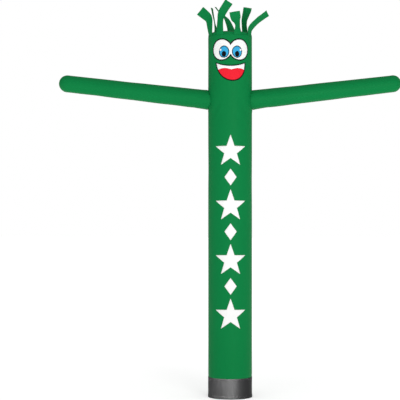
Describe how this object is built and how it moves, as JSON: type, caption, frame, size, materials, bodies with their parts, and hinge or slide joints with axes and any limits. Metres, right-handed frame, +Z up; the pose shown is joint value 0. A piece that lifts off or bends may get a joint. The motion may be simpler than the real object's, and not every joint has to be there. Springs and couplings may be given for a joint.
{
  "type": "inflatable air dancer",
  "caption": "Tall green cloth tube with raised arms, a smiling face and strips for hair, held out by air blown in through a black sleeve at its foot.",
  "frame": {"origin": "centre of the sleeve's open mouth, level with the surface that the dancer stands on", "axes": "+Z up the tube; the face looks along -Y; +X is to the right of someone who faces it"},
  "size_m": [3.5824, 0.5928, 4.1202],
  "materials": {
    "green_cloth": "light ripstop nylon, soft sheen",
    "sleeve_cloth": "heavy coated nylon, satin",
    "black_cloth": "nylon patch, matt",
    "white_cloth": "nylon patch, soft sheen",
    "blue_cloth": "nylon patch, soft sheen",
    "red_cloth": "nylon patch, soft sheen"
  },
  "bodies": {
    "root": {"tube": "green_cloth", "crown": "green_cloth", "sleeve": "sleeve_cloth", "arm_left": "green_cloth", "arm_right": "green_cloth", "hair_a": "green_cloth", "hair_b": "green_cloth", "hair_c": "green_cloth", "hair_d": "green_cloth", "hair_e": "green_cloth", "hair_f": "green_cloth", "hair_g": "green_cloth", "eye_rim": "black_cloth", "eye_whites": "white_cloth", "iris_rim_left": "black_cloth", "iris_rim_right": "black_cloth", "iris_left": "blue_cloth", "iris_right": "blue_cloth", "pupil_left": "black_cloth", "pupil_right": "black_cloth", "glint_left": "white_cloth", "glint_right": "white_cloth", "mouth_rim": "black_cloth", "teeth": "white_cloth", "tongue": "red_cloth", "star_1": "white_cloth", "diamond_2": "white_cloth", "star_3": "white_cloth", "diamond_4": "white_cloth", "star_5": "white_cloth", "diamond_6": "white_cloth", "star_7": "white_cloth"}
  },
  "joints": []
}
